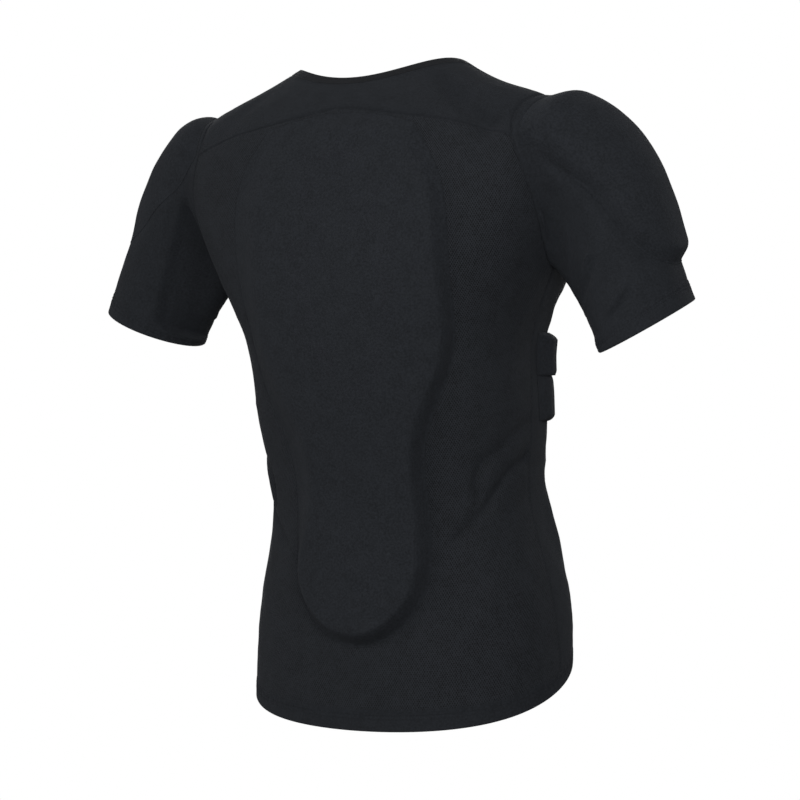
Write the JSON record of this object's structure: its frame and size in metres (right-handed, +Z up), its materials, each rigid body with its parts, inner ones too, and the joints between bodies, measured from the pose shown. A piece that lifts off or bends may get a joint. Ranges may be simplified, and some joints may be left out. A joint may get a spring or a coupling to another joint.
{
  "type": "short-sleeved protective vest",
  "caption": "Close-fitting short-sleeved protective vest with a padded back, padded shoulder caps and rib pads, in the hollow form it has when worn.",
  "frame": {"origin": "the middle between the shoulders at the base of the neck opening, where the wearer's shoulders hold the garment up", "axes": "+Z up, the wearer faces -Y, and +X is the wearer's left"},
  "size_m": [0.6848, 0.2754, 0.6826],
  "materials": {
    "knit": "matt close stretch knit",
    "mesh": "matt fine open mesh knit",
    "pad_cover": "matt knit over soft foam",
    "binding": "narrow folded stretch tape"
  },
  "bodies": {
    "root": {"back_panel": "mesh", "front_panel": "knit", "yoke": "knit", "sleeve_left": "knit", "sleeve_right": "knit", "hem_band": "knit", "cuff_band_left": "knit", "cuff_band_right": "knit", "neck_binding": "binding", "back_pad": "pad_cover", "shoulder_pad_left": "pad_cover", "shoulder_pad_right": "pad_cover", "rib_pad_upper_left": "pad_cover", "rib_pad_upper_right": "pad_cover", "rib_pad_lower_left": "pad_cover", "rib_pad_lower_right": "pad_cover"}
  },
  "joints": []
}
